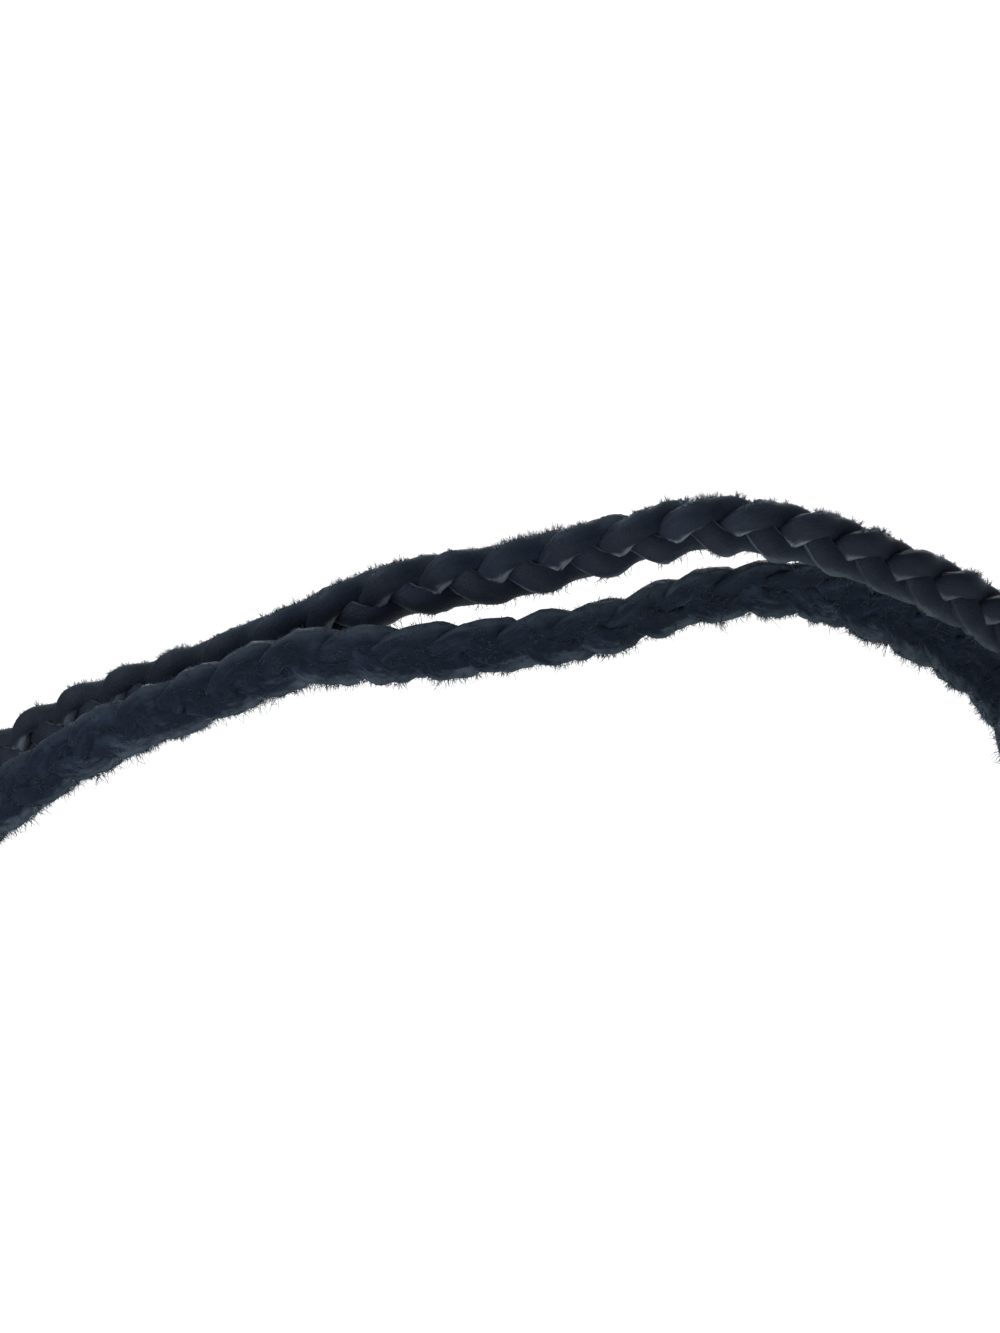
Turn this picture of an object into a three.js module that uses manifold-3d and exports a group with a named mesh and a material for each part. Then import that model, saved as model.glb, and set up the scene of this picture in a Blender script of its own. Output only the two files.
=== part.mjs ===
// Braided leather necklace: two flat braided strands, side by side in one loop, on one plain metal clasp.
// Millimetres, +Z up. The origin is the point of the nape that the loop hangs on, midway between the strands.
// +Y is the wearer's front, +X is to the right as seen from behind, and the clasp is at the low front.
import * as THREE from 'three';
import * as BufferGeometryUtils from 'three/addons/utils/BufferGeometryUtils.js';
import Module from 'manifold-3d';

const wasm = await Module();
wasm.setup();

// A flat braid of three laces: its width across the grain face and its thickness.
const BRAID = { width: 5.8, thickness: 3.2, sides: 12, steps: 80, squareness: 2.4 };

// The clasp is a flat sleeve with rounded corners and two sockets in each end face.
const CLASP = {
  center: new THREE.Vector3(-4, 108, -120),
  lean: 10,
  length: 20,
  width: 15.6,
  thickness: 5.8,
  cornerRadius: 2.4,
  cornerSegments: 12,
  endRound: 0.8,
  endRoundSteps: 6,
  socketPitch: 7.4,
  socketDepth: 7,
  socketClearance: 0.35,
  braidInSocket: 6.5,
};

// The upright line that the loop goes round. A strand's grain face looks straight away from it at a lean of 0.
const LOOP_AXIS = { x: 0, y: 54 };

// Free stretch of each strand, from the left of the clasp up over the nape to its right.
// lean, in degrees, is how far the grain face is turned up from level.
const OUTER_ROUTE = [
  { x: -27, y: 106.5, z: -115, lean: 10 },
  { x: -42, y: 102.5, z: -109, lean: 10 },
  { x: -57, y: 94.5, z: -97, lean: 10 },
  { x: -68, y: 82.5, z: -81, lean: 9 },
  { x: -73.5, y: 68, z: -63.5, lean: 8 },
  { x: -73.5, y: 53, z: -47, lean: 6 },
  { x: -69, y: 39, z: -33, lean: 6 },
  { x: -61, y: 27, z: -22.5, lean: 8 },
  { x: -51, y: 18, z: -15.2, lean: 7 },
  { x: -40.5, y: 11.5, z: -9.9, lean: 2 },
  { x: -30, y: 6.2, z: -6.5, lean: -7 },
  { x: -20, y: 2.6, z: -2.6, lean: -14 },
  { x: -10, y: 0.3, z: 1.5, lean: -12 },
  { x: 0, y: -1.1, z: 3.3, lean: -2 },
  { x: 10, y: -1.9, z: 5.6, lean: -16 },
  { x: 20, y: -1, z: 7.8, lean: -20 },
  { x: 30, y: 1.9, z: 6.9, lean: -19 },
  { x: 40.5, y: 7, z: 3.5, lean: -20 },
  { x: 51, y: 13.6, z: -1.5, lean: -20 },
  { x: 60.5, y: 22, z: -8.9, lean: -14 },
  { x: 68, y: 33, z: -18.5, lean: -4 },
  { x: 72.5, y: 47, z: -33, lean: 6 },
  { x: 73, y: 62, z: -50, lean: 8 },
  { x: 69, y: 77, z: -68.5, lean: 9 },
  { x: 62, y: 90.5, z: -88.5, lean: 10 },
  { x: 47.5, y: 99.5, z: -103, lean: 10 },
  { x: 29, y: 105.3, z: -111.5, lean: 10 },
];

const INNER_ROUTE = [
  { x: -27, y: 107.3, z: -122.3, lean: 12 },
  { x: -43, y: 101.5, z: -116.5, lean: 20 },
  { x: -58, y: 90.5, z: -105, lean: 35 },
  { x: -68.5, y: 77, z: -89.5, lean: 55 },
  { x: -73.5, y: 62.5, z: -72, lean: 78 },
  { x: -73.5, y: 48, z: -55, lean: 102 },
  { x: -69, y: 34, z: -40, lean: 124 },
  { x: -61, y: 22.8, z: -28.5, lean: 140 },
  { x: -51, y: 14, z: -20, lean: 150 },
  { x: -40, y: 7.2, z: -13.2, lean: 155 },
  { x: -30, y: 2.1, z: -9.1, lean: 155 },
  { x: -20, y: -1.5, z: -5.3, lean: 155 },
  { x: -10, y: -3.9, z: -4.7, lean: 152 },
  { x: 0, y: -3.9, z: -3.8, lean: 150 },
  { x: 10, y: -1.6, z: -2.1, lean: 148 },
  { x: 20, y: 2.2, z: 1, lean: 150 },
  { x: 30, y: 6.6, z: 1.8, lean: 154 },
  { x: 40.5, y: 12.2, z: -1.4, lean: 158 },
  { x: 50.5, y: 18.9, z: -7.8, lean: 162 },
  { x: 57, y: 24.6, z: -19.2, lean: 150 },
  { x: 67, y: 36, z: -30, lean: 124 },
  { x: 71, y: 49, z: -43, lean: 96 },
  { x: 71, y: 63, z: -60, lean: 74 },
  { x: 66.5, y: 76.5, z: -78, lean: 52 },
  { x: 57, y: 88, z: -96, lean: 34 },
  { x: 42.5, y: 98.5, z: -111, lean: 20 },
  { x: 27, y: 105.4, z: -120, lean: 12 },
];

// Lengthwise, crosswise and face directions of the clasp. The wearer's front is +Y.
const claspLean = THREE.MathUtils.degToRad(CLASP.lean);
const CLASP_AXES = {
  along: new THREE.Vector3(-1, 0, 0),
  across: new THREE.Vector3(0, -Math.sin(claspLean), Math.cos(claspLean)),
  face: new THREE.Vector3(0, Math.cos(claspLean), Math.sin(claspLean)),
};

// The route row where a braid is at x inside the socket row on one side of the clasp's middle line.
function socketRow(side, x) {
  const place = CLASP.center.clone().addScaledVector(CLASP_AXES.across, (side * CLASP.socketPitch) / 2);
  return { x, y: place.y, z: place.z, lean: CLASP.lean };
}

// A whole route: a straight stretch in the left socket, the free rows and a straight stretch in the right one.
function wholeRoute(side, freeRows) {
  const leftMouth = CLASP.center.x - CLASP.length / 2;
  const rightMouth = CLASP.center.x + CLASP.length / 2;
  return [
    socketRow(side, leftMouth + CLASP.braidInSocket),
    socketRow(side, leftMouth),
    ...freeRows,
    socketRow(side, rightMouth),
    socketRow(side, rightMouth - CLASP.braidInSocket),
  ];
}

function throughPoints(points) {
  return new THREE.CatmullRomCurve3(points, false, 'catmullrom', 0.5);
}

// A curve that also knows which way the braid's grain face looks at each place along it.
class BraidCurve extends THREE.CatmullRomCurve3 {
  constructor(rows) {
    super(rows.map((row) => new THREE.Vector3(row.x, row.y, row.z)), false, 'catmullrom', 0.5);
    this.leans = throughPoints(rows.map((row) => new THREE.Vector3(row.lean, 0, 0)));
  }

  // Sections stand square to the path, their width across the grain face and their thickness through it.
  computeFrenetFrames(steps) {
    const frames = { tangents: [], normals: [], binormals: [] };
    for (let step = 0; step <= steps; step += 1) {
      const share = step / steps;
      const tangent = this.getTangentAt(share);
      const place = this.getPointAt(share);
      const outward = new THREE.Vector3(place.x - LOOP_AXIS.x, place.y - LOOP_AXIS.y, 0);
      outward.addScaledVector(tangent, -outward.dot(tangent)).normalize();
      const upward = new THREE.Vector3().crossVectors(outward, tangent);
      const lean = THREE.MathUtils.degToRad(this.leans.getPoint(this.getUtoTmapping(share)).x);
      const face = outward.multiplyScalar(Math.cos(lean)).addScaledVector(upward, Math.sin(lean));
      frames.tangents.push(tangent);
      frames.normals.push(new THREE.Vector3().crossVectors(face, tangent));
      frames.binormals.push(face);
    }
    return frames;
  }
}

// Flat oval: |x/a|^n + |y/b|^n = 1, grown outwards by extra on every side.
function ovalSection(extra = 0) {
  const halfWidth = BRAID.width / 2 + extra;
  const halfThickness = BRAID.thickness / 2 + extra;
  const flatten = (value) => Math.sign(value) * Math.abs(value) ** (2 / BRAID.squareness);
  const corners = [];
  for (let side = 0; side < BRAID.sides; side += 1) {
    const angle = (2 * Math.PI * (side + 0.5)) / BRAID.sides;
    corners.push(
      new THREE.Vector2(halfWidth * flatten(Math.cos(angle)), halfThickness * flatten(Math.sin(angle))),
    );
  }
  return new THREE.Shape(corners);
}

// Outline of the clasp across its length: a rectangle with round corners, middled on the axis.
function claspOutline() {
  const x = CLASP.width / 2;
  const y = CLASP.thickness / 2;
  const r = CLASP.cornerRadius;
  const outline = new THREE.Shape();
  outline.moveTo(-x + r, -y);
  outline.absarc(x - r, -y + r, r, -Math.PI / 2, 0, false);
  outline.absarc(x - r, y - r, r, 0, Math.PI / 2, false);
  outline.absarc(-x + r, y - r, r, Math.PI / 2, Math.PI, false);
  outline.absarc(-x + r, -y + r, r, Math.PI, 1.5 * Math.PI, false);
  return outline;
}

function toManifold(geometry) {
  const bare = geometry.clone();
  bare.deleteAttribute('normal');
  bare.deleteAttribute('uv');
  const merged = BufferGeometryUtils.mergeVertices(bare, 1e-4);
  return new wasm.Manifold(
    new wasm.Mesh({
      numProp: 3,
      vertProperties: new Float32Array(merged.attributes.position.array),
      triVerts: new Uint32Array(merged.index.array),
    }),
  );
}

function toGeometry(solid) {
  const mesh = solid.getMesh();
  const geometry = new THREE.BufferGeometry();
  geometry.setAttribute('position', new THREE.BufferAttribute(mesh.vertProperties, 3));
  geometry.setIndex(new THREE.BufferAttribute(mesh.triVerts, 1));
  return geometry;
}

function braidStrand(name, side, freeRows, color) {
  const geometry = new THREE.ExtrudeGeometry(ovalSection(), {
    steps: BRAID.steps,
    extrudePath: new BraidCurve(wholeRoute(side, freeRows)),
  });
  const strand = new THREE.Mesh(
    geometry,
    new THREE.MeshStandardMaterial({ color, roughness: 0.6, metalness: 0 }),
  );
  strand.name = name;
  return strand;
}

// The sleeve along its own Z, middled on the origin, with a socket for each braid in both end faces.
function claspGeometry() {
  const body = new THREE.ExtrudeGeometry(claspOutline(), {
    depth: CLASP.length - 2 * CLASP.endRound,
    curveSegments: CLASP.cornerSegments,
    bevelThickness: CLASP.endRound,
    bevelSize: CLASP.endRound,
    bevelOffset: -CLASP.endRound,
    bevelSegments: CLASP.endRoundSteps,
  });
  body.translate(0, 0, CLASP.endRound - CLASP.length / 2);
  let sleeve = toManifold(body);
  const mouthOverrun = 1;
  for (const side of [-1, 1]) {
    for (const end of [-1, 1]) {
      const socket = new THREE.ExtrudeGeometry(ovalSection(CLASP.socketClearance), {
        depth: CLASP.socketDepth + mouthOverrun,
        bevelEnabled: false,
      });
      const start = end > 0 ? CLASP.length / 2 - CLASP.socketDepth : -CLASP.length / 2 - mouthOverrun;
      socket.translate((side * CLASP.socketPitch) / 2, 0, start);
      sleeve = sleeve.subtract(toManifold(socket));
    }
  }
  return toGeometry(sleeve);
}

function clasp() {
  const sleeve = new THREE.Mesh(
    claspGeometry(),
    new THREE.MeshStandardMaterial({ color: 0x9a9c9f, roughness: 0.3, metalness: 1 }),
  );
  sleeve.name = 'clasp';
  const turn = new THREE.Matrix4().makeBasis(CLASP_AXES.across, CLASP_AXES.face, CLASP_AXES.along);
  sleeve.quaternion.setFromRotationMatrix(turn);
  sleeve.position.copy(CLASP.center);
  return sleeve;
}

const necklace = new THREE.Group();
necklace.add(
  braidStrand('outer_strand', 1, OUTER_ROUTE, 0x25292f),
  braidStrand('inner_strand', -1, INNER_ROUTE, 0x2c3138),
  clasp(),
);

export default necklace;
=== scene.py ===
"""Braided leather necklace: two flat braided strands side by side in one loop, closed by a plain metal clasp.

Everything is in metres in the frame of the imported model: +Z up, +X to the right as seen from behind the
wearer, +Y towards the wearer's front, the origin at the nape between the two strands.
"""

import logging
import math
from dataclasses import dataclass, field, fields
from enum import Enum
from typing import Any, Sequence

import bpy
import numpy as np
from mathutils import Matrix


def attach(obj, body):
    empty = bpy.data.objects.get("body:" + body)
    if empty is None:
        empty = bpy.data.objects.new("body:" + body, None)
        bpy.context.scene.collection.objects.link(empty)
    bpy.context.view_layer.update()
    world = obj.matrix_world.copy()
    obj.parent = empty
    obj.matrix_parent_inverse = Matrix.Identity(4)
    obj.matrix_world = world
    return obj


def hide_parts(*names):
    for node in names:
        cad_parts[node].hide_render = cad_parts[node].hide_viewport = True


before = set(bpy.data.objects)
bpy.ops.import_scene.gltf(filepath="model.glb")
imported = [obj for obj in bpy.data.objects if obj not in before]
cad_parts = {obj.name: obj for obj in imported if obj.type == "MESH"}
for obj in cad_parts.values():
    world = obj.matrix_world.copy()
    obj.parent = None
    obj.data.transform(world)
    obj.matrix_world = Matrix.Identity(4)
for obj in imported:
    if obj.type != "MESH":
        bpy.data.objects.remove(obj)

LOG = logging.getLogger("necklace")
MM = 0.001
TURN = 2 * math.pi
BRAID_WIDTH = 5.8 * MM
COOL_WHITE = (0.80, 0.89, 1.0)

# Free stretch of each strand from the left of the clasp over the nape to its right: x, y, z in millimetres,
# and the lean in degrees, which is how far the grain face is turned up from level.
OUTER_ROUTE = (
    (-27, 106.5, -115, 10),
    (-42, 102.5, -109, 10),
    (-57, 94.5, -97, 10),
    (-68, 82.5, -81, 9),
    (-73.5, 68, -63.5, 8),
    (-73.5, 53, -47, 6),
    (-69, 39, -33, 6),
    (-61, 27, -22.5, 8),
    (-51, 18, -15.2, 7),
    (-40.5, 11.5, -9.9, 2),
    (-30, 6.2, -6.5, -7),
    (-20, 2.6, -2.6, -14),
    (-10, 0.3, 1.5, -12),
    (0, -1.1, 3.3, -2),
    (10, -1.9, 5.6, -16),
    (20, -1, 7.8, -20),
    (30, 1.9, 6.9, -19),
    (40.5, 7, 3.5, -20),
    (51, 13.6, -1.5, -20),
    (60.5, 22, -8.9, -14),
    (68, 33, -18.5, -4),
    (72.5, 47, -33, 6),
    (73, 62, -50, 8),
    (69, 77, -68.5, 9),
    (62, 90.5, -88.5, 10),
    (47.5, 99.5, -103, 10),
    (29, 105.3, -111.5, 10),
)
INNER_ROUTE = (
    (-27, 107.3, -122.3, 12),
    (-43, 101.5, -116.5, 20),
    (-58, 90.5, -105, 35),
    (-68.5, 77, -89.5, 55),
    (-73.5, 62.5, -72, 78),
    (-73.5, 48, -55, 102),
    (-69, 34, -40, 124),
    (-61, 22.8, -28.5, 140),
    (-51, 14, -20, 150),
    (-40, 7.2, -13.2, 155),
    (-30, 2.1, -9.1, 155),
    (-20, -1.5, -5.3, 155),
    (-10, -3.9, -4.7, 152),
    (0, -3.9, -3.8, 150),
    (10, -1.6, -2.1, 148),
    (20, 2.2, 1, 150),
    (30, 6.6, 1.8, 154),
    (40.5, 12.2, -1.4, 158),
    (50.5, 18.9, -7.8, 162),
    (57, 24.6, -19.2, 150),
    (67, 36, -30, 124),
    (71, 49, -43, 96),
    (71, 63, -60, 74),
    (66.5, 76.5, -78, 52),
    (57, 88, -96, 34),
    (42.5, 98.5, -111, 20),
    (27, 105.4, -120, 12),
)


def unit(vectors: np.ndarray) -> np.ndarray:
    """The vectors of an array whose last axis is x, y, z, each at length 1."""
    return vectors / np.linalg.norm(vectors, axis=-1, keepdims=True)


def smooth(low: float, high: float, values: np.ndarray) -> np.ndarray:
    """Smooth step of the values: 0 up to low, 1 from high, 3t^2 - 2t^3 between them."""
    t = np.clip((values - low) / (high - low), 0, 1)
    return t * t * (3 - 2 * t)


def wander(rng: np.random.Generator, places: np.ndarray, wavelength: float) -> np.ndarray:
    """Smooth random wandering about 0 with a spread of about 1: a sum of sine waves of random phase.

    Args:
        rng: Seeded source of the phases and wavelengths.
        places: Places along a strand, in metres.
        wavelength: Typical distance from crest to crest, in metres.

    Returns:
        One number for each place.
    """
    waves, shortest, longest = 24, 0.6, 2.2
    rates = TURN / (wavelength * rng.uniform(shortest, longest, waves))
    phases = rng.uniform(0, TURN, waves)
    return np.sin(places[..., None] * rates + phases).sum(-1) * math.sqrt(2 / waves)


def uneven(rng: np.random.Generator, places: np.ndarray, measure: tuple) -> np.ndarray:
    """Wandering about 0 by a measure, which is a size and a wavelength."""
    size, wavelength = measure
    return size * wander(rng, places, wavelength)


def rough_field(rng: np.random.Generator, one: np.ndarray, other: np.ndarray, size: float) -> np.ndarray:
    """Smooth random hills about 0 over two coordinates: a sum of plane waves in random directions.

    Args:
        rng: Seeded source of directions, wavelengths and phases.
        one: First coordinate, in metres.
        other: Second coordinate, in metres.
        size: Typical distance from hill to hill, in metres.

    Returns:
        One height for each pair, with a spread of about 1.
    """
    waves, shortest, longest = 28, 0.6, 1.9
    total = np.zeros(np.broadcast(one, other).shape)
    for _ in range(waves):
        angle, phase = rng.uniform(0, TURN, 2)
        rate = TURN / (size * rng.uniform(shortest, longest))
        total += np.sin(rate * (one * math.cos(angle) + other * math.sin(angle)) + phase)
    return total * math.sqrt(2 / waves)


def new_object(name: str, data: bpy.types.ID) -> bpy.types.Object:
    """Puts a mesh, a lamp or a camera into the scene.

    Args:
        name: Name of the object.
        data: What it shows.

    Returns:
        The new object.
    """
    made = bpy.data.objects.new(name, data)
    bpy.context.scene.collection.objects.link(made)
    return made


def tube_faces(rings: int, corners: int, turned_in: bool) -> list:
    """Faces of a closed tube: rings of corners, and after them the middles of its first and last end.

    Args:
        rings: How many rings there are.
        corners: How many corners a ring has.
        turned_in: Whether the faces would look inwards and have to be turned over.

    Returns:
        The quads of the wall and the triangles of both ends.
    """
    here = np.arange(corners)
    after = (here + 1) % corners
    ring = np.arange(rings - 1)[:, None] * corners
    quads = np.stack([ring + here, ring + after, ring + corners + after, ring + corners + here], -1)
    last_ring, first_middle, last_middle = (rings - 1) * corners, rings * corners, rings * corners + 1
    start = np.stack([np.full(corners, first_middle), after, here], -1)
    end = np.stack([np.full(corners, last_middle), last_ring + here, last_ring + after], -1)
    faces = [quads.reshape(-1, 4), np.vstack([start, end])]
    return [group[:, ::-1] for group in faces] if turned_in else faces


@dataclass(frozen=True)
class Path:
    """Evenly spaced places along a strand, each with its own three directions.

    tangent runs along the strand, face is where the grain looks, across is face x tangent.
    """

    along: np.ndarray
    place: np.ndarray
    tangent: np.ndarray
    across: np.ndarray
    face: np.ndarray


@dataclass(frozen=True)
class Route:
    """Rows of x, y, z in millimetres and lean in degrees that a strand passes through in turn."""

    rows: tuple
    axis: tuple = (0.0, 54 * MM)
    steps_in_row: int = 60

    def cubic(self, t: np.ndarray) -> tuple:
        """Uniform Catmull-Rom: a cubic between each two rows whose slope at a row is half of (next - last).

        Args:
            t: Position counted in rows.

        Returns:
            The four row values at t and their slopes, as two arrays.
        """
        p = np.array(self.rows, float)
        p[:, :3] *= MM
        p = np.vstack([2 * p[0] - p[1], p, 2 * p[-1] - p[-2]])
        i = np.clip(t.astype(int), 0, len(p) - 4)
        f = (t - i)[:, None]
        a, b = p[i + 1], p[i + 2]
        m, n = (p[i + 2] - p[i]) / 2, (p[i + 3] - p[i + 1]) / 2
        c2, c3 = -3 * a + 3 * b - 2 * m - n, 2 * a - 2 * b + m + n
        return a + f * (m + f * (c2 + f * c3)), m + f * (2 * c2 + 3 * f * c3)

    def path(self, spacing: float) -> Path:
        """Places at an even spacing by arc length, with their directions.

        outward is the level direction away from the upright axis that the loop goes round, made square to the
        tangent. face is outward turned about the tangent by the lean, and across is face x tangent.

        Args:
            spacing: Distance from place to place, in metres.

        Returns:
            The path.
        """
        fine = np.linspace(0, len(self.rows) - 1, self.steps_in_row * len(self.rows))
        points, _ = self.cubic(fine)
        arc = np.concatenate([[0], np.cumsum(np.linalg.norm(np.diff(points[:, :3], axis=0), axis=1))])
        along = np.linspace(0, arc[-1], round(arc[-1] / spacing) + 1)
        values, slopes = self.cubic(np.interp(along, arc, fine))
        tangent = unit(slopes[:, :3])
        outward = values[:, :3] - np.array([*self.axis, 0])
        outward[:, 2] = 0
        outward = unit(outward - (outward * tangent).sum(1, keepdims=True) * tangent)
        upward = np.cross(outward, tangent)
        lean = np.radians(values[:, 3:])
        face = outward * np.cos(lean) + upward * np.sin(lean)
        return Path(along, values[:, :3], tangent, np.cross(face, tangent), face)


class Braiding(Enum):
    """Which way along its route a strand was plaited."""

    TOWARDS_START = 1
    TOWARDS_END = -1


@dataclass(frozen=True)
class Outline:
    """Cross-section of a lace: x across it, y towards its grain side, and the outward normal's two parts."""

    x: np.ndarray
    y: np.ndarray
    nx: np.ndarray
    ny: np.ndarray

    def perimeter(self) -> np.ndarray:
        """Distance round the outline from its first corner to each corner."""
        return np.concatenate([[0], np.cumsum(np.hypot(np.diff(self.x), np.diff(self.y)))])


@dataclass(frozen=True)
class LaceShape:
    """Size and woven path of one lace of a flat braid of three.

    With w = the turns so far in radians and p = w + skew cos 2w, the lace swings across the braid by
    swing sin p + square sin 3p. It is lifted through the braid's thickness by lift sin(2w + lead) +
    proud sin(w + proud lead), which sets one row of the braid a little above the other. With
    q = w + tilt lead, its width tilts about its own path by tilt 1 cos q + tilt 3 cos 3q.
    """

    width: float = 2.75 * MM
    thickness: float = 1.12 * MM
    period: float = 18.2 * MM
    swing: float = 1.82 * MM
    square: float = 0.34 * MM
    skew: float = 0.06
    lift: float = 0.88 * MM
    lead: float = 0.62
    proud: float = 0.10 * MM
    proud_lead: float = 0.5
    tilt_1: float = 0.46
    tilt_3: float = 0.04
    tilt_lead: float = 0.85
    crown: float = 0.14 * MM
    cup: float = 0.30 * MM
    boxiness: float = 5.0
    rough_grain: float = 0.012 * MM
    rough_flesh: float = 0.06 * MM
    grain_from: float = 0.2
    hill: float = 1.5 * MM
    section: int = 22

    def swing_at(self, turn: np.ndarray) -> np.ndarray:
        """Distance from the braid's middle line across it at a turn in radians."""
        p = turn + self.skew * np.cos(2 * turn)
        return self.swing * np.sin(p) + self.square * np.sin(3 * p)

    def lift_at(self, turn: np.ndarray) -> np.ndarray:
        """Distance towards the grain face at a turn in radians."""
        return self.lift * np.sin(2 * turn + self.lead) + self.proud * np.sin(turn + self.proud_lead)

    def tilt_at(self, turn: np.ndarray) -> np.ndarray:
        """Angle by which the lace's width leans towards the grain face, in radians."""
        q = turn + self.tilt_lead
        return self.tilt_1 * np.cos(q) + self.tilt_3 * np.cos(3 * q)

    def outline(self) -> Outline:
        """Cross-section of the lace: |x/a|^n + |y/b|^n = 1, with more points at the corners.

        Returns:
            The cross-section.
        """
        angles = TURN * (np.arange(self.section) + 0.5) / self.section
        c, s = np.cos(angles), np.sin(angles)
        power = 2 / self.boxiness
        x = np.sign(c) * np.abs(c) ** power * self.width / 2
        y = np.sign(s) * np.abs(s) ** power * self.thickness / 2
        nx = np.sign(x) * np.abs(2 * x / self.width) ** (self.boxiness - 1) / self.width
        ny = np.sign(y) * np.abs(2 * y / self.thickness) ** (self.boxiness - 1) / self.thickness
        size = np.hypot(nx, ny)
        return Outline(x, y, nx / size, ny / size)


@dataclass(frozen=True)
class Handwork:
    """How unevenly a hand plaits: for each measure, how far it wanders and how far apart its crests are."""

    turn: tuple = (0.04, 30 * MM)
    swing: tuple = (0.02, 14 * MM)
    lift: tuple = (0.03 * MM, 9 * MM)
    tilt: tuple = (0.03, 8 * MM)
    width: tuple = (0.03, 5 * MM)


@dataclass(frozen=True)
class WearAndPaintedLight:
    """Where a lace is bared and worn, where a painted highlight lies on it and where painted shade darkens
    it. A pair is the low and the high end of a smooth step.

    The parts of an outward normal run from 0 to 1, and so do places in the braid, from its middle to the edge
    that has the loose fibres.
    """

    side: tuple = (0.35, 0.7)
    dipping: tuple = (0.1, 0.7)
    far_cut: float = 0.45
    least_cut: float = 0.15
    flesh: tuple = (0.2, 0.8)
    rim: tuple = (0.70, 1.0)
    low_to: float = 0.95
    corner_side: tuple = (0.25, 0.6)
    corner_height: tuple = (0.1, 0.45)
    # The upper row, brow and tip steps place a painted highlight on the upper row's brows and tips.
    upper_row: tuple = (-0.2, 0.3)
    brow_reach: float = 0.45 * MM
    brow_sunk: float = 0.15 * MM
    brow_beside: float = 1.1
    brow_least: float = 0.3
    brow_down: tuple = (0.0, 0.35)
    tip_lift: tuple = (0.2, 0.8)
    tip_side: tuple = (0.1, 1.0)
    tip_place: float = 0.17
    tip_spread: float = 0.25
    # Width over which the painted shade comes in along x.
    fade: float = 5 * MM


@dataclass
class MeshData:
    """Arrays that make one mesh: corners, faces of one size or two, and numbers kept on the corners."""

    points: np.ndarray
    faces: list
    values: dict = field(default_factory=dict)

    def add_to_scene(self, name: str, material: bpy.types.Material, slot: str) -> bpy.types.Object:
        """Makes the mesh an object that rides on the frame.

        Args:
            name: Name of the piece.
            material: Its finish.
            slot: The record's material slot that the finish belongs to; not used.

        Returns:
            The new object.
        """
        mesh = bpy.data.meshes.new(name)
        sizes = np.concatenate([np.full(len(f), f.shape[1]) for f in self.faces])
        loops = np.concatenate([f.ravel() for f in self.faces])
        mesh.vertices.add(len(self.points))
        mesh.vertices.foreach_set("co", self.points.ravel())
        mesh.loops.add(len(loops))
        mesh.loops.foreach_set("vertex_index", loops)
        mesh.polygons.add(len(sizes))
        mesh.polygons.foreach_set("loop_start", np.concatenate([[0], np.cumsum(sizes)[:-1]]))
        mesh.polygons.foreach_set("use_smooth", np.ones(len(sizes), bool))
        for key, numbers in self.values.items():
            vector = numbers.ndim == 2
            layer = mesh.attributes.new(key, "FLOAT_VECTOR" if vector else "FLOAT", "POINT")
            layer.data.foreach_set("vector" if vector else "value", numbers.astype(np.float32).ravel())
        mesh.update(calc_edges=True)
        mesh.validate()
        mesh.materials.append(material)
        piece = new_object(name, mesh)
        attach(piece, "root")
        LOG.info("%s: %d faces", name, len(sizes))
        return piece


@dataclass
class Lace:
    """One lace of a strand: where its middle line and its width lie at each place of the strand's path."""

    middle: np.ndarray
    tangent: np.ndarray
    wide: np.ndarray
    thick: np.ndarray
    swing: np.ndarray
    lift: np.ndarray
    half: np.ndarray
    rising: np.ndarray


@dataclass(frozen=True)
class Fibres:
    """Roots, unit directions, lengths, root radii and tones of many fibres."""

    roots: np.ndarray
    ways: np.ndarray
    lengths: np.ndarray
    radii: np.ndarray
    tones: np.ndarray

    def only(self, keep: np.ndarray) -> "Fibres":
        """The fibres that keep marks."""
        return Fibres(*(getattr(self, part.name)[keep] for part in fields(self)))

    def joined(self, other: "Fibres") -> "Fibres":
        """These fibres and the others."""
        pairs = ((getattr(self, part.name), getattr(other, part.name)) for part in fields(self))
        return Fibres(*(np.concatenate(pair) for pair in pairs))

    def ring(self, rng: np.random.Generator) -> np.ndarray:
        """Three corners about each root, square to the fibre: radius x (one side cos a + other side sin a).

        Args:
            rng: Seeded source of the way each triangle is turned.

        Returns:
            Offsets from the root, three for each fibre.
        """
        one = unit(np.cross(self.ways, rng.normal(size=self.ways.shape)))
        other = np.cross(self.ways, one)
        angles = TURN * np.arange(3) / 3
        ring = one[:, None] * np.cos(angles)[None, :, None] + other[:, None] * np.sin(angles)[None, :, None]
        return ring * self.radii[:, None, None]


@dataclass(frozen=True)
class Nap:
    """How hairy a strand is: fibres for each millimetre of its edges and flesh side, and long loose ones.

    The edge on the across side is the raw one: its nap is longer and paler than that of the other, neat
    edge.
    """

    edge: float
    flesh: float
    loose: float
    loose_side: int
    length: float
    loose_length: float
    pale_from: float
    raw_share: float = 0.68


@dataclass(frozen=True)
class EdgeHabit:
    """How fibres stand out from a cut edge, in clumps and in wider tufts. A pair holds two limits.

    clump and tuft are a size and a wavelength. splay fans the fibres out with their depth in the edge,
    and stray turns each its own way.
    """

    rooted: float = 0.975
    depths: tuple = (-0.5, 0.45)
    splay: float = 1.2
    stray: float = 0.5
    lengths: tuple = (0.35, 1.25)
    neat_length: float = 0.6
    radii: tuple = (0.022 * MM, 0.044 * MM)
    usual: float = 0.9
    clump: tuple = (0.45, 1.4 * MM)
    tuft: tuple = (0.3, 11 * MM)
    clumped: tuple = (0.25, 2.0)
    tone_power: float = 1.5
    neat_tones: tuple = (0.02, 0.2)


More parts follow.
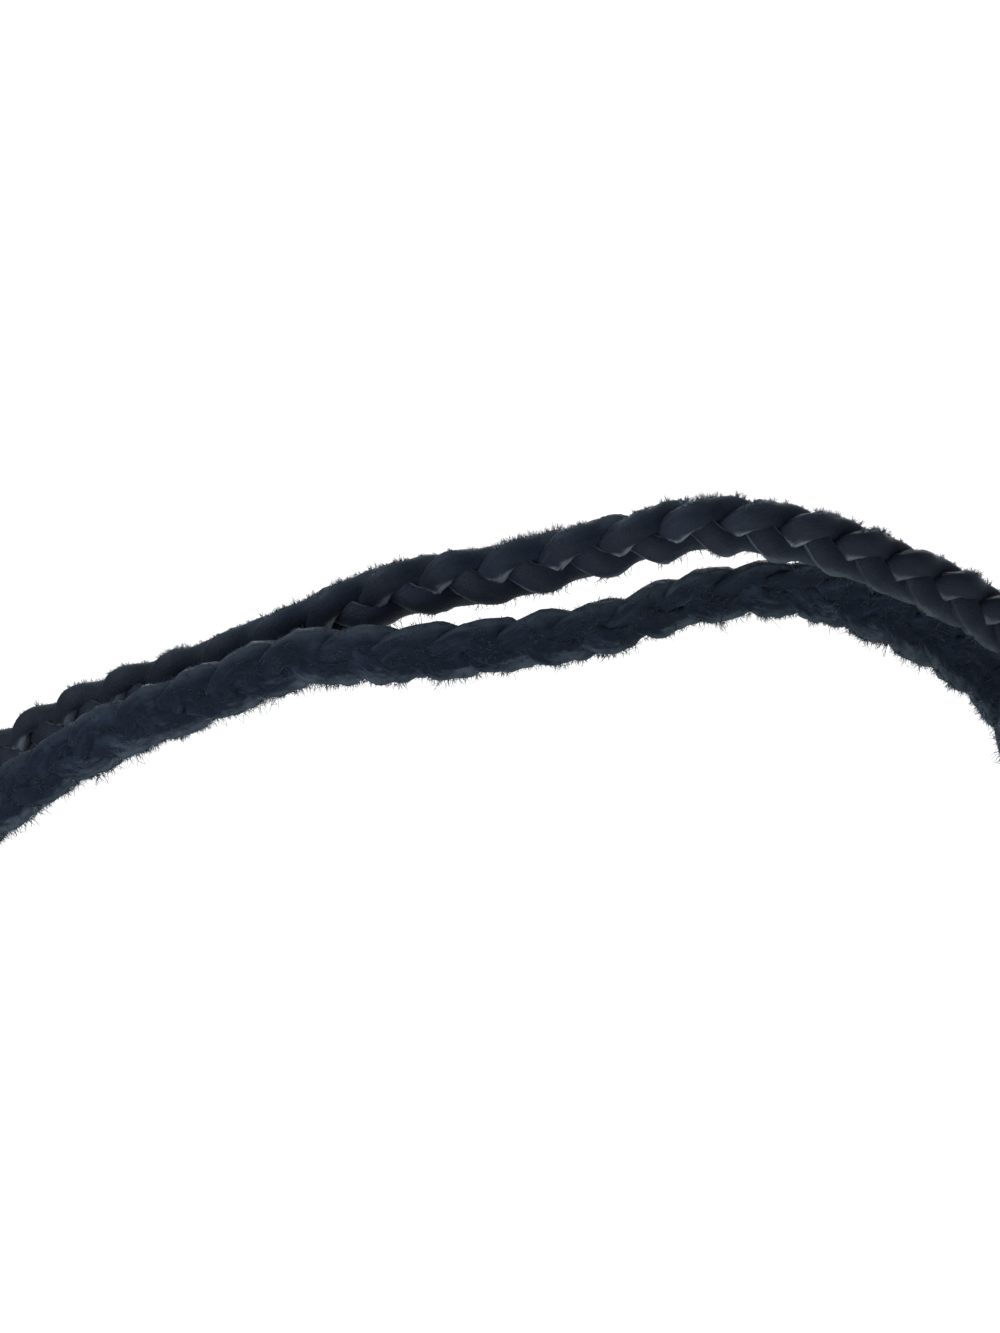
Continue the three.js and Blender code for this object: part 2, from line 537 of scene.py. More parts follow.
@dataclass(frozen=True)
class FleshHabit:
    """How fibres lie on the flesh side, in thick and thin patches. A pair holds two limits.

    A fibre points out of the face by stand, towards the nearer edge by fan, along the lace by a random
    share of lie, and its own way by stray.
    """

    sunk: float = 0.02 * MM
    long_patch: float = 3.5 * MM
    short_patch: float = 1.6 * MM
    slant: float = 0.3
    thinning: tuple = (-1.6, 0.6)
    hidden_above: float = 0.3
    stand: float = 0.55
    fan: float = 0.5
    lie: float = 0.8
    stray: float = 0.55
    least_length: float = 0.3
    length_gamma: tuple = (1.4, 0.5)
    radii: tuple = (0.024 * MM, 0.046 * MM)
    tones: tuple = (0.02, 0.15)
    patch_tone: float = 0.05
    least_tone: float = 0.01


@dataclass
class BraidedStrand:
    """A flat braid of three leather laces along one route, with the nap of its cut edges and flesh side."""

    name: str
    slot: str
    route: Route
    braiding: Braiding
    shape: LaceShape
    phase: float
    seed: int
    nap: Nap
    rubbed_to: float = 1.0
    hand: Handwork = Handwork()
    wear_and_painted_light: WearAndPaintedLight = WearAndPaintedLight()
    edge_habit: EdgeHabit = EdgeHabit()
    flesh_habit: FleshHabit = FleshHabit()
    spacing: float = 0.36 * MM
    nap_from: float = 2.9 * MM
    loose_from: float = 7.4 * MM
    path: Path = field(init=False)
    laces: list = field(init=False)

    def __post_init__(self) -> None:
        """Works out the path and the three laces."""
        self.path = self.route.path(self.spacing)
        self.laces = [self.lace(number) for number in range(3)]

    def lace(self, number: int) -> Lace:
        """Places one lace along the strand.

        Its middle is the path's place + across x swing + face x lift. Its width is across, made square to the
        lace's own direction and turned about it by the tilt.

        Args:
            number: 0, 1 or 2; each is a third of a turn ahead of the last.

        Returns:
            The lace.
        """
        rng = np.random.default_rng([self.seed, number])
        path, shape, hand = self.path, self.shape, self.hand
        turn = TURN * (self.braiding.value * path.along / shape.period + number / 3) + self.phase
        turn = turn + uneven(rng, path.along, hand.turn)
        swing = shape.swing_at(turn) * (1 + uneven(rng, path.along, hand.swing))
        lift = shape.lift_at(turn) + uneven(rng, path.along, hand.lift)
        tilt = shape.tilt_at(turn) + uneven(rng, path.along, hand.tilt)
        half = shape.width / 2 * (1 + uneven(rng, path.along, hand.width))
        middle = path.place + path.across * swing[:, None] + path.face * lift[:, None]
        tangent = unit(np.gradient(middle, axis=0))
        level = unit(path.across - (path.across * tangent).sum(1, keepdims=True) * tangent)
        raised = np.cross(tangent, level)
        c, s = np.cos(tilt)[:, None], np.sin(tilt)[:, None]
        wide = level * c + raised * s
        thick = raised * c - level * s
        return Lace(middle, tangent, wide, thick, swing, lift, half, np.cos(turn))

    def brow(self, number: int, points: np.ndarray) -> np.ndarray:
        """Marks where a lace's surface comes out above another lace: 1 at the line, 0 at brow_reach above it.

        The other lace's top at a distance r across the braid is its lift + (its width's rise over run)
        (r - its swing) + half its thickness.

        Args:
            number: Which lace.
            points: Its corners, one ring for each place of the path.

        Returns:
            One number for each corner.
        """
        path, wear_and_painted_light = self.path, self.wear_and_painted_light
        offset = points - path.place[:, None]
        reach = (offset * path.across[:, None]).sum(-1)
        height = (offset * path.face[:, None]).sum(-1)
        marks = np.zeros(reach.shape)
        for other in (self.laces[(number + 1) % 3], self.laces[(number + 2) % 3]):
            run, rise = (other.wide * path.across).sum(-1), (other.wide * path.face).sum(-1)
            aside = reach - other.swing[:, None]
            top = other.lift[:, None] + (rise / run)[:, None] * aside + self.shape.thickness / 2
            above = height - top
            near = (above > -wear_and_painted_light.brow_sunk) & (np.abs(aside) < wear_and_painted_light.brow_beside * other.half[:, None])
            marks = np.maximum(marks, smooth(-wear_and_painted_light.brow_reach, 0.0, -above) * near)
        return marks

    def surface(self, number: int, outline: Outline) -> np.ndarray:
        """Corners of one lace: its outline carried along its middle line.

        The outline drops by cup (x/half)^2 towards its edges, its grain side rises by crown (1 - (x/half)^2),
        and low hills stand out along its normal, those of the grain where the normal's y is over grain_from.

        Args:
            number: Which lace.
            outline: Its cross-section.

        Returns:
            One ring of corners for each place of the path.
        """
        lace, shape = self.laces[number], self.shape
        share = outline.x / (shape.width / 2)
        rise = shape.crown * (1 - share**2) * (outline.y > 0) - shape.cup * share**2
        rng = np.random.default_rng([self.seed, number, 5])
        hills = rough_field(rng, self.path.along[:, None], outline.perimeter()[None], shape.hill)
        hills = hills * np.where(outline.ny < shape.grain_from, shape.rough_flesh, shape.rough_grain)
        across = (lace.half[:, None] * share + hills * outline.nx)[..., None]
        height = (outline.y + rise + hills * outline.ny)[..., None]
        return lace.middle[:, None] + lace.wide[:, None] * across + lace.thick[:, None] * height

    def marks(self, number: int, outline: Outline, points: np.ndarray) -> dict:
        """Numbers from 0 to 1 that tell the finish what each corner of a lace is.

        cut is the bare side of the lace, flesh its rough face, rim the braid's two edges, where painted rim
        light lies, low its half with the loose fibres, where pale patches gather as painted light from below,
        corner the sharp edge between side and grain, the highlight mark a painted highlight on the brows and
        tips of the upper row, and the last mark fades from 1 to 0 where painted shade darkens the strand
        towards its +X end.

        Args:
            number: Which lace.
            outline: Its cross-section.
            points: Its corners, one ring for each place of the path.

        Returns:
            One array for each mark, with the two end middles last.
        """
        lace, path, shape, wear_and_painted_light = self.laces[number], self.path, self.shape, self.wear_and_painted_light
        reach = ((points - path.place[:, None]) * path.across[:, None]).sum(-1) / (BRAID_WIDTH / 2)
        down = reach * self.nap.loose_side
        sideways = np.abs(outline.nx)
        bared = np.where(outline.nx < 0, 1, smooth(*wear_and_painted_light.dipping, -lace.rising)[:, None])
        cut = bared**2 * np.where(outline.nx < 0, 1, wear_and_painted_light.far_cut)
        corner = bared * smooth(*wear_and_painted_light.corner_side, sideways)
        # The next lines set a painted highlight on the upper row's brows and tips, stronger towards the
        # strand's lower edge as if lit from below.
        row = smooth(*wear_and_painted_light.upper_row, lace.rising)[:, None] * (outline.ny > 0)
        lit_from_below = wear_and_painted_light.brow_least + (1 - wear_and_painted_light.brow_least) * smooth(*wear_and_painted_light.brow_down, down)
        lifted = smooth(*wear_and_painted_light.tip_lift, lace.lift / shape.lift)[:, None]
        tip = lifted * smooth(*wear_and_painted_light.tip_side, np.abs(outline.x) / (shape.width / 2))
        tip = tip * np.exp(-(((down - wear_and_painted_light.tip_place) / wear_and_painted_light.tip_spread) ** 2))
        marks = {
            "cut": smooth(*wear_and_painted_light.side, sideways) * (wear_and_painted_light.least_cut + (1 - wear_and_painted_light.least_cut) * cut),
            "flesh": smooth(*wear_and_painted_light.flesh, -outline.ny),
            # Painted rim light on the braid's two edges.
            "rim": smooth(*wear_and_painted_light.rim, np.abs(reach)),
            # The lower half, where pale patches gather as painted light from below.
            "low": smooth(self.nap.pale_from, wear_and_painted_light.low_to, down),
            "corner": corner * smooth(*wear_and_painted_light.corner_height, outline.y / shape.thickness),
            # Painted highlight on the upper row's brows and tips.
            "painted_highlight": row * np.maximum(self.brow(number, points) * lit_from_below, tip),
            # Painted shade: 1 up to the set x, fading to 0 beyond it towards the strand's +X end.
            "rubbed": 1 - smooth(-wear_and_painted_light.fade, wear_and_painted_light.fade, path.place[:, 0] - self.rubbed_to)[:, None],
        }
        at_ends = {"cut": 1.0, "flesh": 1.0}
        return {
            key: np.append(np.broadcast_to(mark, reach.shape), [at_ends.get(key, 0.0)] * 2)
            for key, mark in marks.items()
        }

    def pattern(self, number: int, outline: Outline) -> np.ndarray:
        """Coordinates that the grain follows: along the strand, round the lace, and the lace's own number.

        Args:
            number: Which lace.
            outline: Its cross-section.

        Returns:
            Three numbers for each corner, with the two end middles last.
        """
        rings, corners = len(self.path.along), len(outline.x)
        along, about = np.repeat(self.path.along, corners), np.tile(outline.perimeter(), rings)
        apart = 0.1
        own = np.full(rings * corners, apart * (number + 3 * self.seed))
        pattern = np.stack([along, about, own], -1)
        return np.vstack([pattern, pattern[[0, -1]]])

    def lace_mesh(self, number: int) -> MeshData:
        """One lace as a closed surface with the numbers that its finish reads.

        Args:
            number: Which lace.

        Returns:
            The mesh.
        """
        lace, outline = self.laces[number], self.shape.outline()
        points = self.surface(number, outline)
        turned_in = np.dot(np.cross(lace.wide[0], lace.thick[0]), lace.tangent[0]) < 0
        return MeshData(
            np.vstack([points.reshape(-1, 3), lace.middle[[0, -1]]]),
            tube_faces(*points.shape[:2], turned_in),
            {"pattern": self.pattern(number, outline), **self.marks(number, outline, points)},
        )

    def gather(self, keys: str, pick: np.ndarray, rows: np.ndarray) -> list:
        """The laces' arrays that keys names, read at chosen laces and places."""
        return [np.stack([getattr(lace, key) for lace in self.laces])[pick, rows] for key in keys.split()]

    def spikes(self, fibres: Fibres, rng: np.random.Generator) -> MeshData:
        """Short fibres as slim closed spikes of four triangles.

        Args:
            fibres: Where they are.
            rng: Seeded source of the way each triangle is turned.

        Returns:
            All the spikes as one mesh.
        """
        ring = fibres.ring(rng)
        tips = (fibres.roots + fibres.ways * fibres.lengths[:, None])[:, None]
        points = np.concatenate([fibres.roots[:, None] + ring, tips], 1)
        count, corners = points.shape[:2]
        spike = np.array([[0, 1, 3], [1, 2, 3], [2, 0, 3], [2, 1, 0]])
        faces = [(np.arange(count)[:, None, None] * corners + spike).reshape(-1, 3)]
        return MeshData(points.reshape(-1, 3), faces, {"tone": np.repeat(fibres.tones, corners)})

    def hairs(self, fibres: Fibres, rng: np.random.Generator) -> MeshData:
        """Long fibres as three-sided hairs of two bands and a tip, which bend to one side and back.

        Args:
            fibres: Where they are.
            rng: Seeded source of the bends.

        Returns:
            All the hairs as one mesh.
        """
        ring = fibres.ring(rng)
        aside = unit(np.cross(fibres.ways, rng.normal(size=fibres.ways.shape)))
        curl, turned_back = 0.30, 0.6
        bend = aside * (fibres.lengths * rng.normal(0, curl, len(aside)))[:, None]
        reach = fibres.ways * fibres.lengths[:, None]
        layers = [
            (fibres.roots + far * reach + side * bend)[:, None] + slim * ring
            for far, side, slim in ((0, 0, 1), (0.35, 1, 0.8), (0.75, 0.6, 0.5))
        ]
        tips = (fibres.roots + reach - turned_back * bend)[:, None]
        points = np.concatenate([*layers, tips], 1)
        count, corners = points.shape[:2]
        start = np.arange(count)[:, None, None] * corners
        i, j = np.arange(3), (np.arange(3) + 1) % 3
        band = np.stack([i, j, j + 3, i + 3], -1)
        walls = start + np.concatenate([band, band + 3])
        caps = start + np.concatenate([np.stack([i + 6, j + 6, np.full(3, 9)], -1), [[2, 1, 0]]])
        faces = [walls.reshape(-1, 4), caps.reshape(-1, 3)]
        return MeshData(points.reshape(-1, 3), faces, {"tone": np.repeat(fibres.tones, corners)})

    def rows_at_random(self, rng: np.random.Generator, count: int, bare_end: float) -> np.ndarray:
        """Random places of the path, none of them within bare_end of either end."""
        first = round(bare_end / self.spacing)
        return rng.integers(first, len(self.path.along) - first, count)

    def edge_fibres(
        self, rng: np.random.Generator, density: float, raw_share: float, length: float, bare_end: float
    ) -> Fibres:
        """Fibres on the outermost cut edge at each place.

        Args:
            rng: Seeded source.
            density: How many for each millimetre of the strand.
            raw_share: How many of them are on the raw edge.
            length: Typical length.
            bare_end: How much of each end has none.

        Returns:
            The fibres.
        """
        habit, thickness = self.edge_habit, self.shape.thickness
        count = int(density * self.path.along[-1] / MM)
        rows = self.rows_at_random(rng, count, bare_end)
        side = np.where(rng.uniform(0, 1, count) < raw_share, 1.0, -1.0)
        pick = (np.stack([lace.swing for lace in self.laces])[:, rows] * side).argmax(0)
        middle, tangent, wide, thick, half = self.gather("middle tangent wide thick half", pick, rows)
        wide = wide * side[:, None]
        depth = rng.uniform(*habit.depths, count)
        slide = tangent * rng.uniform(-0.5, 0.5, (count, 1)) * self.spacing
        drop = thick * (depth * thickness - self.shape.cup)[:, None]
        roots = middle + slide + wide * (habit.rooted * half)[:, None] + drop
        ways = wide + thick * (habit.splay * depth)[:, None] + habit.stray * rng.normal(size=(count, 3))
        along = self.path.along[rows]
        clumps = habit.usual + uneven(rng, along, habit.clump)
        clumps = np.clip(clumps + uneven(rng, along, habit.tuft), *habit.clumped)
        raw = side > 0
        lengths = length * rng.uniform(*habit.lengths, count) * clumps * np.where(raw, 1, habit.neat_length)
        raw_tones = rng.uniform(0, 1, count) ** habit.tone_power
        tones = np.where(raw, raw_tones, rng.uniform(*habit.neat_tones, count))
        return Fibres(roots, unit(ways), lengths, rng.uniform(*habit.radii, count), tones)

    def flesh_fibres(self, rng: np.random.Generator) -> Fibres:
        """Nap on the flesh side, in thick and thin patches, each fibre lying its own way.

        Args:
            rng: Seeded source.

        Returns:
            The fibres, without those that other laces hide.
        """
        habit, shape = self.flesh_habit, self.shape
        count = int(self.nap.flesh * self.path.along[-1] / MM)
        rows = self.rows_at_random(rng, count, self.nap_from)
        pick = rng.integers(0, len(self.laces), count)
        share = rng.uniform(-1, 1, count)
        middle, tangent, wide, thick = self.gather("middle tangent wide thick", pick, rows)
        half, swing, lift = self.gather("half swing lift", pick, rows)
        roots = middle + wide * (share * half)[:, None]
        roots = roots - thick * (shape.thickness / 2 - habit.sunk + shape.cup * share**2)[:, None]
        along = self.path.along[rows]
        patch = wander(rng, along, habit.long_patch)
        patch = patch + wander(rng, share * half + swing + habit.slant * along, habit.short_patch)
        lie = tangent * rng.normal(0, habit.lie, (count, 1))
        ways = -habit.stand * thick + habit.fan * wide * share[:, None] + lie
        ways = ways + habit.stray * rng.normal(size=(count, 3))
        outside = lift < habit.hidden_above * shape.lift
        keep = outside & (patch > rng.uniform(*habit.thinning, count))
        lengths = self.nap.length * (habit.least_length + rng.gamma(*habit.length_gamma, count))
        tones = rng.uniform(*habit.tones, count) + habit.patch_tone * patch
        tones = np.clip(tones, habit.least_tone, 1)
        return Fibres(roots, unit(ways), lengths, rng.uniform(*habit.radii, count), tones).only(keep)

    def build(self, leather: bpy.types.Material, nap: bpy.types.Material) -> None:
        """Makes the laces and their nap and hides the plain strand they stand for.

        Args:
            leather: Finish of the laces.
            nap: Finish of the fibres.
        """
        for number in range(len(self.laces)):
            piece = self.lace_mesh(number).add_to_scene(f"{self.name}_lace_{number + 1}", leather, self.slot)
            if number == 0:
                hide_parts(self.name)
        rng = np.random.default_rng([self.seed, 7])
        edge = self.edge_fibres(rng, self.nap.edge, self.nap.raw_share, self.nap.length, self.nap_from)
        short = edge.joined(self.flesh_fibres(rng))
        self.spikes(short, rng).add_to_scene(f"{self.name}_nap", nap, self.slot)
        raw_share = (self.nap.loose_side + 1) / 2
        loose = self.edge_fibres(rng, self.nap.loose, raw_share, self.nap.loose_length, self.loose_from)
        self.hairs(loose, rng).add_to_scene(f"{self.name}_loose_fibres", nap, self.slot)


class Num:
    """A number socket with Python's operators: each adds one Math node to the tree."""

    def __init__(self, nodes: "Nodes", socket: bpy.types.NodeSocket) -> None:
        """Wraps an output socket of a material's tree."""
        self.nodes = nodes
        self.socket = socket

    def math(self, operation: str, *values: Any) -> "Num":
        """Output of one Math node whose inputs are numbers or Nums."""
        node = self.nodes.node("ShaderNodeMath", {"operation": operation}, dict(enumerate(values)))
        return Num(self.nodes, node.outputs[0])

    def __add__(self, other: Any) -> "Num":
        """Sum."""
        return self.math("ADD", self, other)

    def __radd__(self, other: Any) -> "Num":
        """Sum, from the right."""
        return self.math("ADD", other, self)

    def __sub__(self, other: Any) -> "Num":
        """Difference."""
        return self.math("SUBTRACT", self, other)

    def __rsub__(self, other: Any) -> "Num":
        """Difference, from the right."""
        return self.math("SUBTRACT", other, self)

    def __mul__(self, other: Any) -> "Num":
        """Product."""
        return self.math("MULTIPLY", self, other)

    def __rmul__(self, other: Any) -> "Num":
        """Product, from the right."""
        return self.math("MULTIPLY", other, self)

    def __pow__(self, other: Any) -> "Num":
        """Power."""
        return self.math("POWER", self, other)

    def step(self, low: float, high: float) -> "Num":
        """Smooth step from 0 at low to 1 at high.

        Args:
            low: Where the step starts.
            high: Where it ends.

        Returns:
            The stepped number.
        """
        sockets = {"Value": self, "From Min": low, "From Max": high}
        node = self.nodes.node("ShaderNodeMapRange", {"interpolation_type": "SMOOTHSTEP"}, sockets)
        return Num(self.nodes, node.outputs["Result"])


class Nodes:
    """A material under construction: its tree, its shader and the one method that adds nodes."""

    def __init__(self, name: str, constants: dict) -> None:
        """Starts a material.

        Args:
            name: Name of the finish.
            constants: Shader sockets that are the same all over.
        """
        self.material = bpy.data.materials.new(name)
        self.material.use_nodes = True
        self.tree = self.material.node_tree
        self.shader = self.tree.nodes["Principled BSDF"]
        self.set_sockets(self.shader, constants)

    def set_sockets(self, node: bpy.types.Node, sockets: dict) -> None:
        """Sets or links a node's inputs.

        Args:
            node: The node.
            sockets: Input name or number to a value, a Num or an output socket.
        """
        for key, value in sockets.items():
            value = value.socket if isinstance(value, Num) else value
            if isinstance(value, bpy.types.NodeSocket):
                self.tree.links.new(value, node.inputs[key])
            else:
                node.inputs[key].default_value = value

    def node(self, kind: str, settings: dict, sockets: dict) -> bpy.types.Node:
        """Adds a node.

        Args:
            kind: Its type.
            settings: Its properties, set first.
            sockets: Its inputs, as for set_sockets.

        Returns:
            The node.
        """
        node = self.tree.nodes.new(kind)
        for key, value in settings.items():
            setattr(node, key, value)
        self.set_sockets(node, sockets)
        return node

    def attribute(self, name: str) -> bpy.types.Node:
        """The node that reads one of the mesh's own attributes."""
        return self.node("ShaderNodeAttribute", {"attribute_name": name, "attribute_type": "GEOMETRY"}, {})

    def mark(self, name: str) -> Num:
        """One of the numbers kept on the mesh's corners."""
        return Num(self, self.attribute(name).outputs["Fac"])

    def noise(self, vector: bpy.types.NodeSocket, scale: float, detail: float = 3, rough: float = 0.5) -> Num:
        """Noise from 0 to 1 with scale waves in a metre; rough is how strong its finer octaves are."""
        sockets = {"Vector": vector, "Scale": scale, "Detail": detail, "Roughness": rough}
        return Num(self, self.node("ShaderNodeTexNoise", {}, sockets).outputs["Fac"])

    def stretch(self, vector: bpy.types.NodeSocket, factors: Sequence[float]) -> bpy.types.NodeSocket:
        """The vector with each part multiplied by its own factor."""
        node = self.node("ShaderNodeVectorMath", {"operation": "MULTIPLY"}, {0: vector, 1: tuple(factors)})
        return node.outputs["Vector"]

    def mix(self, factor: Any, low: Any, high: Any) -> bpy.types.NodeSocket:
        """Colour between low, which a factor of 0 gives, and high, which a factor of 1 gives."""
        node = self.node("ShaderNodeMix", {"data_type": "RGBA"}, {0: factor, 6: low, 7: high})
        return node.outputs[2]

    def bump(self, height: Num, distance: float, strength: float = 1.0) -> bpy.types.NodeSocket:
        """Bumped normal from a height of 0 to 1; distance is what 1 stands for, in metres."""
        sockets = {"Height": height, "Distance": distance, "Strength": strength}
        return self.node("ShaderNodeBump", {}, sockets).outputs["Normal"]


@dataclass(frozen=True)
class LeatherFinish:
    """Dyed blue-black leather: smooth grain, paler raw cut edges and mottled rough flesh.

    The braid's rims carry painted rim light, the upper row's brows and tips a painted highlight, the pale
    colour lies in patches that gather towards each strand's lower edge as painted light from below, the two
    cut colours lie on bare sides and the worn colour on sharp corners.
    Painted shade darkens the grain and fades the bare sides, worn corners and highlight towards the outer
    strand's +X end.
    """

    name: str
    grain_dark: tuple = (0.0018, 0.0038, 0.0096, 1)
    grain_light: tuple = (0.0052, 0.0096, 0.0205, 1)
    cut_dark: tuple = (0.010, 0.015, 0.022, 1)
    cut_light: tuple = (0.055, 0.068, 0.082, 1)
    worn: tuple = (0.075, 0.088, 0.105, 1)
    # Colour of the painted highlight.
    bright: tuple = (0.135, 0.150, 0.170, 1)
    # Colour of the painted rim light.
    painted_rim_light: tuple = (0.040, 0.052, 0.062, 1)
    flesh_dark: tuple = (0.0034, 0.0066, 0.0138, 1)
    flesh_light: tuple = (0.0115, 0.0185, 0.0310, 1)
    # Colour of the pale patches: partly real mottling, partly painted light from below.
    pale: tuple = (0.052, 0.065, 0.077, 1)
    # Strength of the real edge wear and of the painted highlight.
    wear_and_painted_light: float = 0.8
    patchy: float = 0.0

    def make(self) -> bpy.types.Material:
        """Builds the material.

        Returns:
            The material.
        """
        nodes = Nodes(
            self.name,
            {
                "Specular IOR Level": 0.22,
                "Sheen Weight": 0.05,
                "Sheen Roughness": 0.45,
                "Sheen Tint": (0.75, 0.85, 1.0, 1.0),
            },
        )
        where = nodes.attribute("pattern").outputs["Vector"]
        cut, flesh, rim, corner, low, painted_highlight, rubbed = (
            nodes.mark(name) for name in ("cut", "flesh", "rim", "corner", "low", "painted_highlight", "rubbed")
        )
        drawn = nodes.stretch(where, (0.35, 1, 1))
        broad = nodes.noise(where, 260, 3)
        fine = nodes.noise(where, 2600, 3, 0.6)
        fibres = nodes.noise(drawn, 2400, 4, 0.65)
        patches = nodes.noise(drawn, 520, 3, 0.55)
        to_edge = {"feature": "DISTANCE_TO_EDGE"}
        cells = nodes.node("ShaderNodeTexVoronoi", to_edge, {"Vector": where, "Scale": 3600})
        pores = Num(nodes, cells.outputs["Distance"]).step(0.0, 0.22)
        # Painted shade: 1 where unshaded, 0.2 at the outer strand's +X end; it darkens the grain there and
        # fades the edge wear and the painted highlight.
        painted_shade_factor = 0.2 + rubbed * 0.8
        # Real wear of bare sides and corners, faded where the painted shade lies.
        wear_and_painted_light = painted_shade_factor * self.wear_and_painted_light * (nodes.noise(where, 150, 2).step(0.36, 0.62) * 0.9 + 0.1)
        cloudy = (broad * 0.7 + fine * 0.3).step(0.38, 0.66)
        streaky = (fibres * 0.6 + broad * 0.4).step(0.34, 0.62)
        matted = (patches * 0.65 + fibres * 0.35).step(0.46, 0.66)
        grain = nodes.mix(cloudy * painted_shade_factor, self.grain_dark, self.grain_light)
        raw = nodes.mix(streaky, self.cut_dark, self.cut_light)
        suede = nodes.mix(matted, self.flesh_dark, self.flesh_light)
        # Painted highlight on the upper row's brows and tips.
        painted_highlight_amount = (painted_highlight**1.4 * (0.15 + fibres * 1.7)).step(0.12, 0.8) * (0.45 + rubbed * 0.55)
        # Pale patches: real mottling, pushed towards the lower edge as painted light from below.
        mottling_and_painted_underlight = (patches + fibres * 0.7 + low * 0.42).step(1.04, 1.44)
        bare = (cut + (fine - 0.5) * 0.35).step(0.4, 0.8)
        sharp = (corner + (fibres - 0.5) * 0.8).step(0.3, 0.9)
        colour = nodes.mix(flesh, grain, suede)
        # Painted rim light on the braid's rims.
        colour = nodes.mix(rim * (0.25 + fine * 0.5), colour, self.painted_rim_light)
        # Painted highlight.
        colour = nodes.mix(painted_highlight_amount * self.wear_and_painted_light, colour, self.bright)
        colour = nodes.mix(mottling_and_painted_underlight * self.patchy, colour, self.pale)
        colour = nodes.mix(bare * wear_and_painted_light, colour, raw)
        colour = nodes.mix(sharp * wear_and_painted_light, colour, self.worn)
        rough = 0.60 + flesh * 0.32 + (broad - 0.5) * 0.12
        leather = pores * 0.35 + fine * 0.25 + broad * 0.4
        height = leather * (1 - flesh) + (fibres * 1.2 + patches * 1.1) * flesh
        nodes.set_sockets(
            nodes.shader,
            {"Base Color": colour, "Roughness": rough, "Normal": nodes.bump(height, 0.09 * MM, 0.75)},
        )
        return nodes.material


@dataclass(frozen=True)
class NapFinish:
    """Loose leather fibres, each a little lighter or darker than the next."""

    name: str
    dark: tuple = (0.006, 0.010, 0.016, 1)
    light: tuple = (0.21, 0.24, 0.28, 1)

    def make(self) -> bpy.types.Material:
        """Builds the material.

        Returns:
            The material.
        """
        nodes = Nodes(self.name, {"Specular IOR Level": 0.2, "Roughness": 0.8})
        nodes.set_sockets(nodes.shader, {"Base Color": nodes.mix(nodes.mark("tone"), self.dark, self.light)})
        return nodes.material


@dataclass(frozen=True)
class MetalFinish:
    """Steel brushed along its length."""

    name: str = "brushed_steel"
    dark: tuple = (0.36, 0.365, 0.37, 1)
    light: tuple = (0.62, 0.62, 0.61, 1)

    def make(self) -> bpy.types.Material:
        """Builds the material.

        Returns:
            The material.
        """
        nodes = Nodes(self.name, {"Metallic": 1.0})
        where = nodes.node("ShaderNodeTexCoord", {}, {}).outputs["Object"]
        strokes = nodes.noise(nodes.stretch(where, (0.04, 1, 1)), 9000, 4, 0.6)
        smudges = nodes.noise(where, 180, 3)
        colour = nodes.mix((strokes * 0.6 + smudges * 0.4).step(0.3, 0.7), self.dark, self.light)
        rough = 0.24 + smudges * 0.12 + strokes * 0.10
        nodes.set_sockets(
            nodes.shader,
            {"Base Color": colour, "Roughness": rough, "Normal": nodes.bump(strokes, 0.012 * MM, 0.6)},
        )
        return nodes.material


@dataclass(frozen=True)
class Clasp:
    """The plain sleeve that both strands end in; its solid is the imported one.

    The centre and the sizes of the sockets are in millimetres, like the routes, and the lean is in degrees.
    """

    node: str = "clasp"
    finish: MetalFinish = MetalFinish()
    centre: tuple = (-4.0, 108.0, -120.0)
    lean: float = 10.0
    length: float = 20.0
    pitch: float = 7.4
    inside: float = 6.5

    def whole_route(self, side: int, rows: tuple) -> Route:
        """A strand's whole route, in millimetres: in the left socket, round the loop and in the right socket.

        Args:
            side: 1 for the outer strand's row of sockets, -1 for the inner's.
            rows: The strand's free stretch.

        Returns:
            The route.
        """
        x, y, z = self.centre
        lean, from_centre = math.radians(self.lean), side * self.pitch / 2
        y, z = y - from_centre * math.sin(lean), z + from_centre * math.cos(lean)
        left, right = x - self.length / 2, x + self.length / 2
        before, after = (left + self.inside, left), (right, right - self.inside)
        sockets = [tuple((end, y, z, self.lean) for end in ends) for ends in (before, after)]
        return Route((*sockets[0], *rows, *sockets[1]))

    def build(self) -> None:
        """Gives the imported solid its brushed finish."""
        material = self.finish.make()
        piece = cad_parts[self.node]
        for slot in piece.material_slots:
            slot.material = material
        if not piece.material_slots:
            piece.data.materials.append(material)
        LOG.info("%s: brushed", self.node)


@dataclass(frozen=True)
class SoftBox:
    """A square lamp that looks at a point."""

    name: str
    place: tuple
    target: tuple
    size: float
    power: float
    colour: tuple = (1, 1, 1)

    def build(self) -> None:
        """Adds the lamp."""
        lamp = bpy.data.lights.new(self.name, "AREA")
        lamp.size, lamp.energy, lamp.color = self.size, self.power, self.colour
        body = new_object(self.name, lamp)
        body.location = self.place
        way = unit(np.array(self.target, float) - np.array(self.place, float))
        body.rotation_euler = (math.acos(-way[2]), 0, math.atan2(way[1], way[0]) - math.pi / 2)


